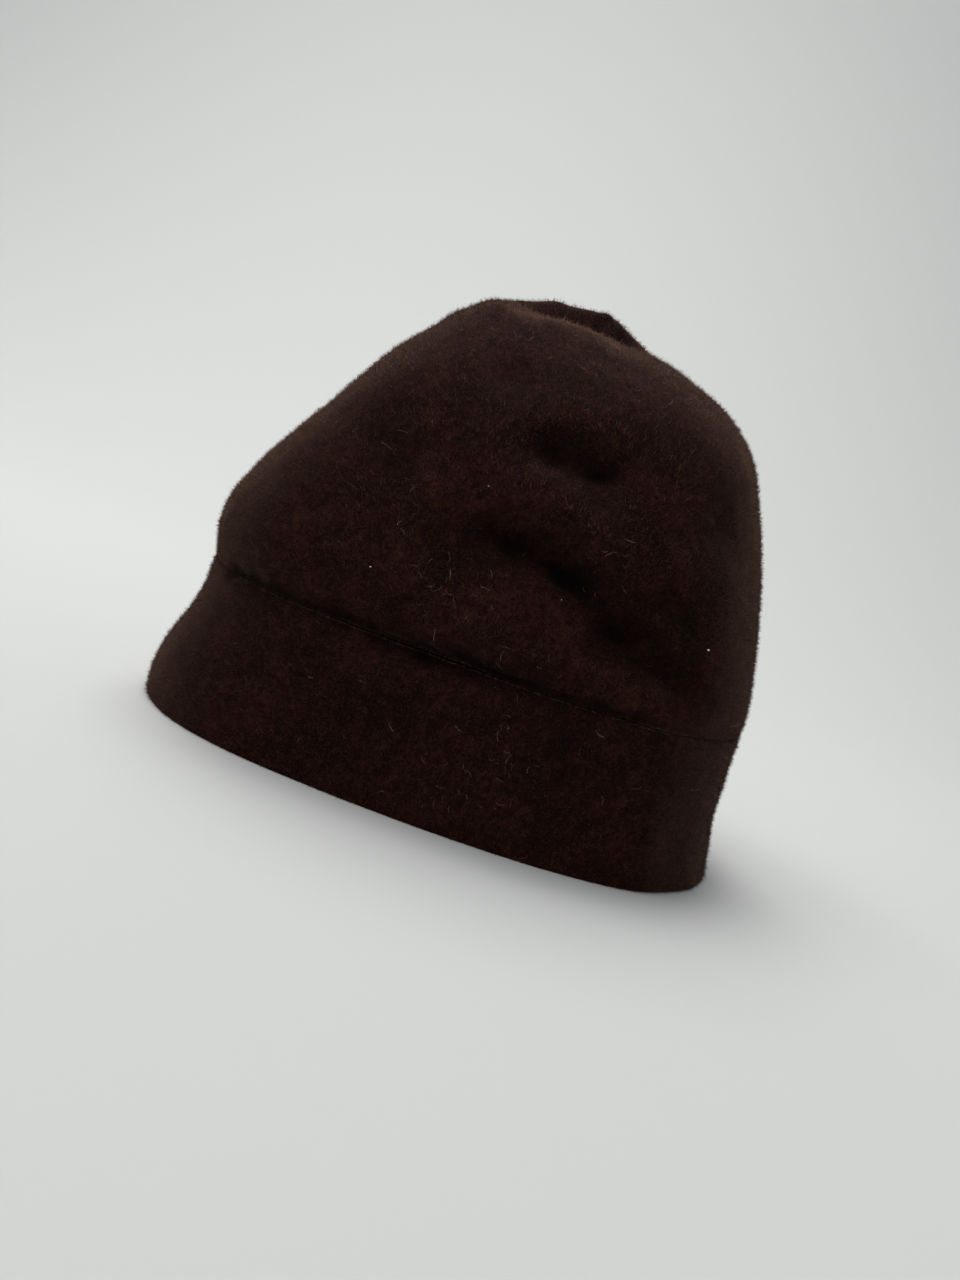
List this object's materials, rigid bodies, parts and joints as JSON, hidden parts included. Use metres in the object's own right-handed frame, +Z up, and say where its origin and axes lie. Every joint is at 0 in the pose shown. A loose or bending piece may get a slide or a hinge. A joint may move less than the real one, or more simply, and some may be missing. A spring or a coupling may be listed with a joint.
{
  "type": "soft felt cloche hat",
  "caption": "Soft dark brown wool felt cloche: a peaked, dented crown joined at a groove to a turned-down brim that flares at the front.",
  "frame": {"origin": "on the plane that the rim rests on, under the middle of the hat's bounding box", "axes": "+Z up through the crown, -X toward the front of the hat, -Y toward the wearer's left"},
  "size_m": [0.225, 0.18, 0.1863],
  "materials": {
    "felt": "dark brown wool felt with a short, dry, fuzzy nap and no shine"
  },
  "bodies": {
    "root": {"crown": "felt", "brim": "felt"}
  },
  "joints": []
}
